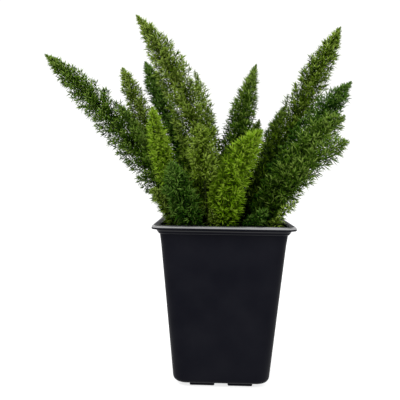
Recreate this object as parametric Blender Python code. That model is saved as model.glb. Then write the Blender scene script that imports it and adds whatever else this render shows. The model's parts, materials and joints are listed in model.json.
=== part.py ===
# Potted foxtail fern: a square nursery pot, its soil, and one solid for each leafy stem.
# Units are metres, +Z is up, and the feet of the pot stand on z = 0.

import math

import bmesh
import bpy
import numpy as np
from mathutils import Matrix, Vector

# Driving dimensions of the pot
POT_HEIGHT = 0.194
RIM_WIDTH = 0.165
RIM_CORNER = 0.012
LIP_HEIGHT = 0.0048
LIP_EDGE = 0.001
FLANGE_WIDTH = 0.008
COLLAR_HEIGHT = 0.0058
COLLAR_BAND = 0.4
COLLAR_EDGE = 0.0003
COLLAR_HALF = 0.0772
COLLAR_FOOT_HALF = 0.0750
BODY_TOP_HALF = 0.0734
BODY_BOTTOM_HALF = 0.0580
BODY_CORNER = 0.017
WALL = 0.0016
FLOOR_UNDERSIDE = 0.0048
FLOOR_THICKNESS = 0.0022
HEEL_HEIGHT = 0.0068
HEEL_INSET = 0.0062
HEEL_TURN = 0.35
CORNER_STEPS = 5
SHARP_ANGLE = math.radians(35)

# Feet and drain holes
FOOT_LENGTH = 0.0295
FOOT_DEPTH = 0.0075
FOOT_CHAMFER = 0.0022
FOOT_SIDE_CHAMFER = 0.0007
FOOT_SPREAD = 0.0226
FOOT_LINE = 0.0448
DRAIN_RADIUS = 0.0055
DRAIN_SPREAD = 0.025
DRAIN_SIDES = 12
DRAIN_CUT = 0.016

# Soil
SOIL_TOP = 0.173
SOIL_EDGE_DROP = 0.004
SOIL_FLAT_HALF = 0.062
GAP = 0.0003

# Stems and plumes
STEM_RADIUS = 0.0013
STEM_DEPTH = 0.012
STEM_RISE = 0.0016
STEM_HOLE_SIDES = 6
BARE_SHARE = 0.10
BARE_STEP = 0.014
CORE_SHARE = 0.17
CORE_RAMP = 0.10
CORE_TIP_RADIUS = 0.0006
FOOT_TAPER = 0.34
FOOT_SHARE = 0.52
COURSE_SAMPLES = 120
DIRECTION_STEP = 0.01
WELD = 0.00001

# Side sprays: each is one slender spike raised from the core
RING_STEP = 0.0056
RING_STEP_LEAST = 0.45
LAST_STEP = 0.0012
RING_TWIST = math.radians(37)
SPRAY_LEAN = 0.80
SPRAY_TIP_LEAN = 1.9
SPRAY_TIP_FROM = 0.8
SPRAY_VARIES = 0.14
SPRAY_CLEAR = 0.0007
SPRAY_LEAST = 0.0012
SPRAY_TESTS = (0.2, 0.4, 0.6, 0.8, 1)
POT_CLEAR = 0.0042
SHORTEN = 0.85

# Colours as (red, green, blue) and roughness
TONES = {
    "deep": (0.030, 0.105, 0.022),
    "mid": (0.065, 0.170, 0.022),
    "olive": (0.120, 0.205, 0.030),
    "bright": (0.130, 0.330, 0.010),
    "pale": (0.200, 0.300, 0.055),
}

# Each leafy stem: its place on the soil, the elbow that its curve bends towards, its tip,
# the radius that its needles reach, how far from the tip the plume widens, and its tone
FRONDS = {
    "far_left": ((-0.042, -0.002), (-0.099, -0.008, 0.294), (-0.223, -0.02, 0.397), 0.026, 0.046, "mid"),
    "left_short": ((-0.036, 0.016), (-0.086, 0.028, 0.274), (-0.138, 0.044, 0.395), 0.0175, 0.023, "olive"),
    "left_dark": ((-0.03, 0.036), (-0.078, 0.066, 0.264), (-0.153, 0.092, 0.352), 0.0165, 0.029, "deep"),
    "tall": ((-0.02, -0.008), (-0.016, -0.014, 0.328), (-0.11, -0.03, 0.443), 0.029, 0.052, "olive"),
    "tall_dark": ((-0.022, 0.02), (-0.058, 0.036, 0.293), (-0.109, 0.058, 0.406), 0.0185, 0.026, "deep"),
    "bright": ((-0.036, -0.036), (-0.076, -0.072, 0.267), (-0.081, -0.092, 0.327), 0.0155, 0.019, "bright"),
    "pale_front": ((-0.016, -0.034), (-0.023, -0.08, 0.248), (-0.028, -0.112, 0.307), 0.019, 0.017, "pale"),
    "sparse": ((-0.008, 0.012), (-0.008, 0.024, 0.293), (-0.041, 0.036, 0.392), 0.0175, 0.034, "olive"),
    "centre": ((0.01, 0.014), (0.009, 0.02, 0.301), (0.042, 0.036, 0.4), 0.0305, 0.067, "mid"),
    "broad_front": ((0.002, -0.038), (-0.009, -0.08, 0.248), (0.041, -0.092, 0.303), 0.024, 0.021, "bright"),
    "tall_right": ((0.026, 0.016), (0.077, 0.034, 0.302), (0.156, 0.058, 0.455), 0.0258, 0.044, "olive"),
    "right_dark": ((0.036, 0.0), (0.094, -0.002, 0.299), (0.156, -0.008, 0.37), 0.025, 0.029, "deep"),
    "right_broad": ((0.038, -0.016), (0.079, -0.036, 0.284), (0.142, -0.04, 0.324), 0.022, 0.014, "mid"),
    "right_low": ((0.04, -0.028), (0.094, -0.057, 0.281), (0.14, -0.072, 0.292), 0.0205, 0.014, "mid"),
    "right_pale": ((0.052, -0.042), (0.066, -0.068, 0.217), (0.083, -0.086, 0.224), 0.009, 0.012, "pale"),
    "left_low": ((-0.048, -0.028), (-0.065, -0.06, 0.226), (-0.083, -0.086, 0.235), 0.0145, 0.014, "olive"),
    "front_dark": ((-0.028, -0.048), (-0.052, -0.084, 0.229), (-0.058, -0.108, 0.266), 0.0205, 0.014, "deep"),
    "low_dark": ((0.024, -0.05), (0.035, -0.07, 0.203), (0.049, -0.084, 0.215), 0.0145, 0.014, "deep"),
    "sprout": ((-0.006, -0.054), (-0.01, -0.064, 0.199), (-0.017, -0.074, 0.215), 0.01, 0.012, "pale"),
    "back_small": ((0.012, 0.034), (0.029, 0.052, 0.258), (0.049, 0.062, 0.33), 0.0135, 0.019, "mid"),
    "back_right": ((0.03, 0.036), (0.05, 0.072, 0.264), (0.088, 0.096, 0.352), 0.0165, 0.021, "mid"),
    "rear_left": ((-0.018, 0.046), (-0.043, 0.092, 0.252), (-0.063, 0.134, 0.307), 0.0185, 0.023, "deep"),
    "rear": ((0.004, 0.05), (0.005, 0.104, 0.252), (0.007, 0.144, 0.297), 0.0185, 0.023, "mid"),
    "rear_right": ((0.024, 0.052), (0.056, 0.106, 0.242), (0.083, 0.14, 0.293), 0.0185, 0.023, "deep"),
    "rear_far_left": ((-0.038, 0.046), (-0.081, 0.096, 0.232), (-0.108, 0.124, 0.284), 0.0155, 0.021, "mid"),
    "rear_far_right": ((0.046, 0.036), (0.09, 0.062, 0.246), (0.132, 0.088, 0.286), 0.0155, 0.021, "mid"),
}

# The stems whose leaves start further up, at this share of the length
LEAFY_FROM = {"bright": 0.48, "pale_front": 0.56}


def clear_scene():
    for thing in list(bpy.data.objects):
        bpy.data.objects.remove(thing)


def new_collection(name):
    group = bpy.data.collections.new(name)
    bpy.context.scene.collection.children.link(group)
    return group


def new_object(name, mesh, group, material=None):
    thing = bpy.data.objects.new(name, mesh)
    group.objects.link(thing)
    if material:
        mesh.materials.clear()
        mesh.materials.append(material)
    return thing


def make_material(name, colour, roughness):
    material = bpy.data.materials.new(name)
    material.use_nodes = True
    shader = material.node_tree.nodes["Principled BSDF"]
    shader.inputs["Base Color"].default_value = (*colour, 1)
    shader.inputs["Roughness"].default_value = roughness
    shader.inputs["Metallic"].default_value = 0.0
    return material


# Rounded square sections

def rounded_square(half, corner, height):
    """The points of a rounded square, anticlockwise from above."""
    points = []
    for quarter in range(4):
        middle = math.pi / 2 * quarter + math.pi / 4
        centre_x = math.copysign(half - corner, math.cos(middle))
        centre_y = math.copysign(half - corner, math.sin(middle))
        for step in range(CORNER_STEPS + 1):
            angle = math.pi / 2 * (quarter + step / CORNER_STEPS)
            x = centre_x + corner * math.cos(angle)
            y = centre_y + corner * math.sin(angle)
            points.append((x, y, height))
    return points


def loft(sections):
    """A closed solid through rounded squares, each (half width, corner radius, height)."""
    shape = bmesh.new()
    rings = []
    for half, corner, height in sections:
        rings.append([shape.verts.new(point) for point in rounded_square(half, corner, height)])
    count = len(rings[0])
    for lower, upper in zip(rings, rings[1:]):
        for i in range(count):
            j = (i + 1) % count
            shape.faces.new((lower[i], lower[j], upper[j], upper[i]))
    shape.faces.new(reversed(rings[0]))
    shape.faces.new(rings[-1])
    bmesh.ops.recalc_face_normals(shape, faces=shape.faces)
    mesh = bpy.data.meshes.new("loft")
    shape.to_mesh(mesh)
    shape.free()
    return mesh


def wall_half(height):
    """Half the outer width of the pot's tapered wall at a height."""
    body_foot = FLOOR_UNDERSIDE + HEEL_HEIGHT
    share = (height - body_foot) / (collar_foot() - body_foot)
    return BODY_BOTTOM_HALF + (BODY_TOP_HALF - BODY_BOTTOM_HALF) * share


def wall_corner(height):
    """Corner radius of the pot's wall, which shrinks from the floor to the rim."""
    return BODY_CORNER + (RIM_CORNER - BODY_CORNER) * height / POT_HEIGHT


def collar_foot():
    return POT_HEIGHT - LIP_HEIGHT - COLLAR_HEIGHT


# Pot

def pot_sections():
    """The outside from the floor to the lip, then the inside back down to the floor."""
    rim = RIM_WIDTH / 2
    lip_foot = POT_HEIGHT - LIP_HEIGHT
    body_foot = FLOOR_UNDERSIDE + HEEL_HEIGHT
    inner_rim = rim - FLANGE_WIDTH
    floor_half = BODY_BOTTOM_HALF - HEEL_INSET
    floor_corner = BODY_CORNER - HEEL_INSET / 2
    heel_out = HEEL_INSET * HEEL_TURN
    heel_up = HEEL_HEIGHT * HEEL_TURN
    collar_top = lip_foot - COLLAR_HEIGHT * COLLAR_BAND
    outside = [
        (floor_half, floor_corner, FLOOR_UNDERSIDE),
        (BODY_BOTTOM_HALF - heel_out, BODY_CORNER, FLOOR_UNDERSIDE + heel_up),
        (BODY_BOTTOM_HALF, BODY_CORNER, body_foot),
        (BODY_TOP_HALF, RIM_CORNER, collar_foot()),
        (COLLAR_FOOT_HALF, RIM_CORNER, collar_foot() + COLLAR_EDGE),
        (COLLAR_HALF, RIM_CORNER, collar_top),
        (COLLAR_HALF, RIM_CORNER, lip_foot),
        (rim - LIP_EDGE, RIM_CORNER, lip_foot),
        (rim, RIM_CORNER, lip_foot + LIP_EDGE),
        (rim, RIM_CORNER, POT_HEIGHT - LIP_EDGE),
        (rim - LIP_EDGE, RIM_CORNER, POT_HEIGHT),
    ]
    inside = [
        (inner_rim + LIP_EDGE, RIM_CORNER - LIP_EDGE, POT_HEIGHT),
        (inner_rim, RIM_CORNER - LIP_EDGE, POT_HEIGHT - LIP_EDGE),
        (wall_half(collar_foot()) - WALL, RIM_CORNER - WALL, collar_foot()),
        (wall_half(body_foot) - WALL, BODY_CORNER - WALL, body_foot),
        (floor_half, floor_corner, FLOOR_UNDERSIDE + FLOOR_THICKNESS),
    ]
    return outside + inside


def foot_mesh():
    """A foot block whose lower edges are drawn in."""
    shape = bmesh.new()
    bmesh.ops.create_cube(shape, size=1)
    height = FLOOR_UNDERSIDE + FLOOR_THICKNESS / 2
    for corner in shape.verts:
        low = corner.co.z < 0
        inset = FOOT_CHAMFER if low else 0
        side_inset = FOOT_SIDE_CHAMFER if low else 0
        corner.co.x = math.copysign(FOOT_LENGTH / 2 - inset, corner.co.x)
        corner.co.y = math.copysign(FOOT_DEPTH / 2 - side_inset, corner.co.y)
        corner.co.z = 0 if low else height
    mesh = bpy.data.meshes.new("foot")
    shape.to_mesh(mesh)
    shape.free()
    return mesh


def add_feet(group):
    mesh = foot_mesh()
    for side in range(4):
        turn = math.pi / 2 * side
        for spread in (-FOOT_SPREAD, FOOT_SPREAD):
            foot = new_object("foot", mesh, group)
            foot.location = Matrix.Rotation(turn, 3, "Z") @ Vector((spread, -FOOT_LINE, 0))
            foot.rotation_euler.z = turn


def cylinder_mesh(name, radius, depth, sides):
    shape = bmesh.new()
    bmesh.ops.create_cone(
        shape, cap_ends=True, segments=sides, radius1=radius, radius2=radius, depth=depth
    )
    mesh = bpy.data.meshes.new(name)
    shape.to_mesh(mesh)
    shape.free()
    return mesh


def hide_cutter(thing):
    thing.hide_render = True
    thing.display_type = "WIRE"


def add_drain_cutters(group):
    mesh = cylinder_mesh("drain", DRAIN_RADIUS, DRAIN_CUT, DRAIN_SIDES)
    spots = [(0, 0)]
    spots += [(x, y) for x in (-DRAIN_SPREAD, DRAIN_SPREAD) for y in (-DRAIN_SPREAD, DRAIN_SPREAD)]
    for x, y in spots:
        drain = new_object("drain", mesh, group)
        drain.location = (x, y, FLOOR_UNDERSIDE)
        hide_cutter(drain)


def boolean(thing, group, operation):
    cut = thing.modifiers.new(operation.lower(), "BOOLEAN")
    cut.operation = operation
    cut.operand_type = "COLLECTION"
    cut.collection = group


def apply_modifiers(thing):
    """Takes the evaluated mesh in place of the object's own and drops the modifiers."""
    bpy.context.view_layer.update()
    seen = thing.evaluated_get(bpy.context.evaluated_depsgraph_get())
    mesh = bpy.data.meshes.new_from_object(seen)
    thing.modifiers.clear()
    thing.data = mesh


def empty_collection(group):
    for thing in list(group.objects):
        bpy.data.objects.remove(thing)
    bpy.data.collections.remove(group)


def smooth(thing):
    thing.data.shade_smooth()
    thing.data.set_sharp_from_angle(angle=SHARP_ANGLE)


def add_pot(parts, cutters):
    plastic = make_material("pot plastic", (0.012, 0.012, 0.016), 0.42)
    pot = new_object("pot", loft(pot_sections()), parts, plastic)
    feet = new_collection("feet")
    add_feet(feet)
    boolean(pot, feet, "UNION")
    apply_modifiers(pot)
    empty_collection(feet)
    add_drain_cutters(cutters)
    boolean(pot, cutters, "DIFFERENCE")
    smooth(pot)


# Courses of the leafy stems

def course(frond):
    """Points on the curve from the frond's foot, bent towards its elbow, to its tip."""
    start = np.array((*frond[0], SOIL_TOP + STEM_RISE))
    elbow, tip = np.array(frond[1]), np.array(frond[2])
    share = np.linspace(0, 1, COURSE_SAMPLES)[:, None]
    return start * (1 - share) ** 2 + elbow * 2 * share * (1 - share) + tip * share**2


class Clump:
    """Where every stem runs, so that each plume keeps to the room nearest to its own stem."""

    def __init__(self):
        self.courses = {name: course(frond) for name, frond in FRONDS.items()}

    def distance(self, name, point):
        return float(np.linalg.norm(self.courses[name] - point, axis=1).min())

    def nearest_other(self, name, point):
        return min(self.distance(other, point) for other in self.courses if other != name)

    def is_free(self, name, point):
        spare = self.nearest_other(name, point) - self.distance(name, point)
        return spare > 2 * SPRAY_CLEAR and clears_pot(point)


def clears_pot(point):
    sideways = max(abs(point[0]), abs(point[1]))
    opening = RIM_WIDTH / 2 - FLANGE_WIDTH - POT_CLEAR
    if point[2] > POT_HEIGHT + POT_CLEAR:
        return True
    return point[2] > SOIL_TOP + POT_CLEAR and sideways < opening


class Stem:
    """One stem's course, read by the share of its length from the foot."""

    def __init__(self, name, clump):
        self.name = name
        self.clump = clump
        self.reach, self.taper = FRONDS[name][3:5]
        self.bare = LEAFY_FROM.get(name, BARE_SHARE)
        self.points = clump.courses[name]
        steps = np.linalg.norm(np.diff(self.points, axis=0), axis=1)
        self.along = np.concatenate([[0], np.cumsum(steps)])
        self.length = self.along[-1]

    def at(self, share):
        return np.array([np.interp(share * self.length, self.along, axis) for axis in self.points.T])

    def nearest_share(self, point):
        nearest = int(np.linalg.norm(self.points - point, axis=1).argmin())
        low, high = max(nearest - 1, 0), min(nearest + 1, COURSE_SAMPLES - 1)
        line = self.points[high] - self.points[low]
        step = float(np.dot(point - self.points[low], line) / np.dot(line, line))
        return (self.along[low] + step * (self.along[high] - self.along[low])) / self.length

    def direction(self, share):
        line = self.at(min(share + DIRECTION_STEP, 1)) - self.at(max(share - DIRECTION_STEP, 0))
        return line / np.linalg.norm(line)

    def plume_radius(self, share):
        """How far the needles reach at a share of the stem's length, counted from the foot."""
        tip = 1 - math.exp((share - 1) * self.length / self.taper)
        foot = FOOT_SHARE + (1 - FOOT_SHARE) * min(1, share / FOOT_TAPER)
        return self.reach * tip * foot

    def core_radius(self, share):
        """The slim core among the sprays, with the bare stem below it."""
        leafy = min(1, max(0, (share - self.bare) / CORE_RAMP))
        wanted = STEM_RADIUS + leafy * (CORE_SHARE * self.plume_radius(share) - STEM_RADIUS)
        room = self.clump.nearest_other(self.name, self.at(share)) / 2 - 2 * SPRAY_CLEAR
        return max(min(wanted, room), CORE_TIP_RADIUS)

    def stations(self):
        """Shares of the length at which the core has a ring, closer together near the tip."""
        shares = [0]
        while shares[-1] < 1:
            share = shares[-1]
            if share < self.bare:
                shares.append(min(share + BARE_STEP / self.length, self.bare))
                continue
            thickness = self.plume_radius(share) / self.reach
            shares.append(share + RING_STEP * max(thickness, RING_STEP_LEAST) / self.length)
        shares[-1] = 1
        if (1 - shares[-2]) * self.length < LAST_STEP:
            del shares[-2]
        return shares


# Fronds

def core_mesh(stem, group):
    """A four-sided tube along the stem, turned a little from ring to ring."""
    foot = (*FRONDS[stem.name][0], SOIL_TOP - STEM_DEPTH + GAP)
    knots = [(foot, STEM_RADIUS)]
    knots += [(stem.at(share), stem.core_radius(share)) for share in stem.stations()]
    curve = bpy.data.curves.new(stem.name, "CURVE")
    curve.dimensions = "3D"
    # With a depth of one metre, each point's radius is in metres
    curve.bevel_depth = 1.0
    curve.bevel_resolution = 0
    curve.use_fill_caps = True
    spline = curve.splines.new("POLY")
    spline.points.add(len(knots) - 1)
    for i, (point, radius) in enumerate(knots):
        spline.points[i].co = (*point, 1)
        spline.points[i].radius = radius
        spline.points[i].tilt = i * RING_TWIST
    tube = bpy.data.objects.new(stem.name, curve)
    group.objects.link(tube)
    bpy.context.view_layer.update()
    mesh = bpy.data.meshes.new_from_object(tube.evaluated_get(bpy.context.evaluated_depsgraph_get()))
    bpy.data.objects.remove(tube)
    return mesh


def spray_tip(stem, middle, random):
    """Where the spray that grows from this middle of a face ends, shorter where room is short."""
    share = stem.nearest_share(middle)
    centre = stem.at(share)
    axis = stem.direction(share)
    outward = middle - centre
    outward -= axis * np.dot(outward, axis)
    core = np.linalg.norm(outward)
    outward /= core
    reach = stem.plume_radius(share) * (1 + random.uniform(-SPRAY_VARIES, SPRAY_VARIES))
    near_tip = max(0, share - SPRAY_TIP_FROM) / (1 - SPRAY_TIP_FROM)
    lean = SPRAY_LEAN + (SPRAY_TIP_LEAN - SPRAY_LEAN) * near_tip
    length = reach - core
    while length > SPRAY_LEAST:
        way = outward * length + axis * length * lean
        if all(stem.clump.is_free(stem.name, middle + way * part) for part in SPRAY_TESTS):
            return middle + way
        length *= SHORTEN
    return middle


def raise_sprays(mesh, stem, random):
    """Pokes the core's leafy faces and draws each new point out into a spray."""
    shape = bmesh.new()
    shape.from_mesh(mesh)
    bmesh.ops.remove_doubles(shape, verts=shape.verts, dist=WELD)
    sides = [face for face in shape.faces if len(face.verts) == 4]
    leafy = [face for face in sides if stem.nearest_share(face_middle(face)) > stem.bare]
    grown = bmesh.ops.poke(shape, faces=leafy)
    for point in grown["verts"]:
        point.co = spray_tip(stem, np.array(point.co), random)
    shape.to_mesh(mesh)
    shape.free()


def face_middle(face):
    return np.array(face.calc_center_median())


def add_frond(name, clump, parts, material, seed):
    stem = Stem(name, clump)
    mesh = core_mesh(stem, parts)
    raise_sprays(mesh, stem, np.random.default_rng(seed))
    new_object("frond_" + name, mesh, parts, material)


# Soil

def soil_sections():
    floor = FLOOR_UNDERSIDE + FLOOR_THICKNESS + GAP
    body_foot = FLOOR_UNDERSIDE + HEEL_HEIGHT
    edge = SOIL_TOP - SOIL_EDGE_DROP
    inset = WALL + GAP
    return [
        (BODY_BOTTOM_HALF - HEEL_INSET - GAP, BODY_CORNER - HEEL_INSET / 2, floor),
        (wall_half(body_foot) - inset, BODY_CORNER - inset, body_foot + GAP),
        (wall_half(edge) - inset, wall_corner(edge) - inset, edge),
        (SOIL_FLAT_HALF, wall_corner(edge) - inset, SOIL_TOP),
    ]


def add_soil(parts):
    mix = make_material("potting mix", (0.035, 0.022, 0.014), 0.95)
    soil = new_object("soil", loft(soil_sections()), parts, mix)
    holes = new_collection("stem holes")
    depth = STEM_DEPTH * 2
    radius = (STEM_RADIUS + GAP) / math.cos(math.pi / STEM_HOLE_SIDES)
    mesh = cylinder_mesh("stem hole", radius, depth, STEM_HOLE_SIDES)
    for frond in FRONDS.values():
        hole = new_object("stem hole", mesh, holes)
        hole.location = (*frond[0], SOIL_TOP - STEM_DEPTH + depth / 2)
    boolean(soil, holes, "DIFFERENCE")
    apply_modifiers(soil)
    empty_collection(holes)


def centre_on_origin(parts):
    """Moves everything sideways so that the middle of the whole plant's box is on the origin."""
    bpy.context.view_layer.update()
    corners = [thing.matrix_world @ v.co for thing in parts.objects for v in thing.data.vertices]
    xs = [c.x for c in corners]
    ys = [c.y for c in corners]
    shift = Vector(((min(xs) + max(xs)) / 2, (min(ys) + max(ys)) / 2, 0))
    for thing in bpy.data.objects:
        thing.location -= shift


def build():
    clear_scene()
    parts = new_collection("potted foxtail fern")
    cutters = new_collection("cutters")
    add_pot(parts, cutters)
    add_soil(parts)
    greens = {tone: make_material("needles " + tone, colour, 0.55) for tone, colour in TONES.items()}
    clump = Clump()
    for seed, (name, frond) in enumerate(FRONDS.items()):
        tone = frond[5]
        add_frond(name, clump, parts, greens[tone], seed)
    centre_on_origin(parts)


build()
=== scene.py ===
# The looks of the potted foxtail fern: plumes of fine needles, a moulded pot, potting mix and a studio

import json
import math

import bmesh
import bpy
import numpy as np
from mathutils import Matrix, Vector, noise

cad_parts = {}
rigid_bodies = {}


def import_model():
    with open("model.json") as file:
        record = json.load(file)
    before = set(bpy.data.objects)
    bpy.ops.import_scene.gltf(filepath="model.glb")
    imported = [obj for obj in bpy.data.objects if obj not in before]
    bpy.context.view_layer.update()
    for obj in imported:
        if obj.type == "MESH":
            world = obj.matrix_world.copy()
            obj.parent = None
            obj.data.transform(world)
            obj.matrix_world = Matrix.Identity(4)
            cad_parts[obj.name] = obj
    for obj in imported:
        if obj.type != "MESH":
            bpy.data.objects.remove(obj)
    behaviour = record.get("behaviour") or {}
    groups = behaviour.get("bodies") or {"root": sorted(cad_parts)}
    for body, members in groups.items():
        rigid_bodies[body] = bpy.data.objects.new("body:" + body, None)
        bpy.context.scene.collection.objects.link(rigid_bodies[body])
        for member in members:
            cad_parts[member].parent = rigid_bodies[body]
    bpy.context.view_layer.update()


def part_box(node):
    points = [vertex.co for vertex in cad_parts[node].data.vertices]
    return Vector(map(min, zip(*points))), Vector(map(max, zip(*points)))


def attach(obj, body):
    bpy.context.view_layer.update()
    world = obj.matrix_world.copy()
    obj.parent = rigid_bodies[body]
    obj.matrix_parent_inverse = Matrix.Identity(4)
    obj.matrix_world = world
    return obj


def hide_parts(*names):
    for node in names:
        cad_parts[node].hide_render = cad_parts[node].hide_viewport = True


# The photograph's frame and how its camera stands to the pot, in pixels, metres and degrees
PHOTO_WIDTH = 400
FOCAL_PIXELS = 540.0
SENSOR_WIDTH = 36.0
CAMERA_PLACE = (-0.0122, -0.6825, 0.2515)
CAMERA_YAW = 1.45
CAMERA_PITCH = 2.69
CAMERA_ROLL = 0.84

# Pot, in metres and radians like all that follows, apart from the rim's width and height from the frame.
# A half is half of an outer width, and the collar's upper band, a share of its height, is the wider one.
RIM_CORNER = 0.012
LIP_HEIGHT = 0.0048
LIP_TOP_EDGE = 0.0027
LIP_LOW_EDGE = 0.0009
LIP_INNER_EDGE = 0.0018
FLANGE_WIDTH = 0.008
COLLAR_HEIGHT = 0.0058
COLLAR_BAND = 0.4
COLLAR_EDGE = 0.0005
RIDGE_HEIGHT = 0.0012
FLAT_MARGIN = 0.0002
COLLAR_HALF = 0.0772
COLLAR_FOOT_HALF = 0.0750
BODY_TOP_HALF = 0.0734
BODY_BOTTOM_HALF = 0.0580
BODY_CORNER = 0.017
WALL = 0.0016
BULGE = 0.0005
FLOOR_UNDERSIDE = 0.0048
FLOOR_THICKNESS = 0.0022
HEEL_HEIGHT = 0.0068
HEEL_INSET = 0.0062
ARC_STEPS = 6
WALL_STEPS = 14
CORNER_STEPS = 10
SIDE_STEPS = 10
SHARP_ANGLE = math.radians(40)
FOOT_LENGTH = 0.0295
FOOT_DEPTH = 0.0075
FOOT_EDGE = 0.0014
FOOT_EDGE_STEPS = 4
FOOT_SPREAD = 0.0226
FOOT_LINE = 0.0448
DRAIN_RADIUS = 0.0055
DRAIN_SPREAD = 0.025
DRAIN_SIDES = 32
DRAIN_CUT = 0.016

# Soil, with its fractal bumps as (dimension, lacunarity, octaves), and the grains that lie in it
SOIL_GAP = 0.0003
SOIL_EDGE_DROP = 0.003
SOIL_EDGE_WIDTH = 0.010
SOIL_DEPTH = 0.04
SOIL_RINGS = 26
SOIL_BUMP = 0.0016
SOIL_BUMP_SCALE = 210
SOIL_BUMP_FRACTAL = (0.9, 2.1, 4)
CHIPS = {"count": 420, "sizes": (0.0011, 0.0034), "flatness": (0.25, 0.6), "seed": 7}
PERLITE = {"count": 46, "sizes": (0.0008, 0.0017), "flatness": (0.6, 1.0), "seed": 8}
GRAIN_WIDTH = (0.5, 0.9)
GRAIN_ROUGHNESS = (0.75, 1.15)
GRAIN_LEAN = 0.6

# Stems: each course is measured from the middle of the pot's foot, and it stops short of the plume's tip
# by a share of a needle's length
STEM_RISE = 0.0016
STEM_DEPTH = 0.0117
STEM_RADIUS = 0.0013
STEM_TIP_RADIUS = 0.0004
STEM_SHORTFALL = 0.35
STEM_SIDES = 6
STEM_RINGS = 26
COURSE_SAMPLES = 120

# A plume starts at its foot with a share of its reach, and has all of it from a share of its length on
PLUME_FOOT_REACH = 0.52
PLUME_FULL_FROM = 0.34

# Twigs round each stem, which lean further forward towards its tip
LEAVES_FROM = 0.07
TWIG_STEP = 0.00075
TWIG_TURN = math.radians(137.5)
TWIG_TURN_VARIES = math.radians(20)
TWIG_TILT = math.radians(62)
TWIG_TIP_TILT = math.radians(30)
TWIG_TILT_POWER = 4
TWIG_TILT_VARIES = math.radians(12)
TWIG_CURL = 0.25
TWIG_LEAST = 0.0006
TWIG_RADIUS = 0.00030
TWIG_END_RADIUS = 0.00018
TWIG_RINGS = 3
TWIG_SIDES = 3
TWIG_LENGTH_VARIES = 0.10
LENGTH_ROUNDS = 14
CLEAR_ROUNDS = 6
CLEAR_SHRINK = 0.75
POT_CLEAR = 0.0008

# Needles round each twig: rings of them at its nodes, and a tuft at its end
NODE_STEP = 0.0038
NODE_FIRST = 0.35
NODE_NEEDLES = 4
NODE_TURN = math.radians(45)
NODE_TURN_VARIES = 0.7
NEEDLE_SIDES = 3
NEEDLE_LENGTH = 0.0086
NEEDLE_LENGTH_VARIES = 0.22
NEEDLE_WIDTH = 0.0016
NEEDLE_WIDTH_VARIES = 0.18
NEEDLE_MOST_WIDTH = 0.24
NEEDLE_THICKNESS = 0.5
NEEDLE_TILT = math.radians(54)
NEEDLE_TILT_VARIES = math.radians(20)
NEEDLE_BELLY = 0.45
NEEDLE_BEND = 0.05
NEEDLE_REACH = 0.92
NEEDLE_MOST = 0.72
TUFT_NEEDLES = 6
TUFT_TILT = math.radians(38)

# The material slots of a plume
NEEDLE_SLOT, STEM_SLOT = range(2)

# Youth and painted shade, which colour the needles: 0 for old dark ones and 1 for new pale ones. The rise
# along each twig and up each stem is partly new growth and partly painted shade, darker by the stem and low
# on the plume
YOUTH_BASE = -0.03
YOUTH_AND_SHADE_ALONG_TWIG = 0.42
YOUTH_AND_SHADE_ALONG_STEM = 0.36
YOUTH_ALONG_NEEDLE = 0.2
YOUTH_VARIES = 0.29
TWIG_YOUTH = 0.25
TWIG_YOUTH_VARIES = 0.04

# Painted shade: needles are coloured darker inside this ellipsoid about the middle of the clump, and close
# above the soil
CLUMP_MIDDLE = (0.02, 0.02, 0.25)
CLUMP_REACH = (0.13, 0.085, 0.12)
CLUMP_SHADE = 0.27
CLUMP_SHADE_RISE = 2
SOIL_SHADE = 0.25
SOIL_SHADE_REACH = 0.034

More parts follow.
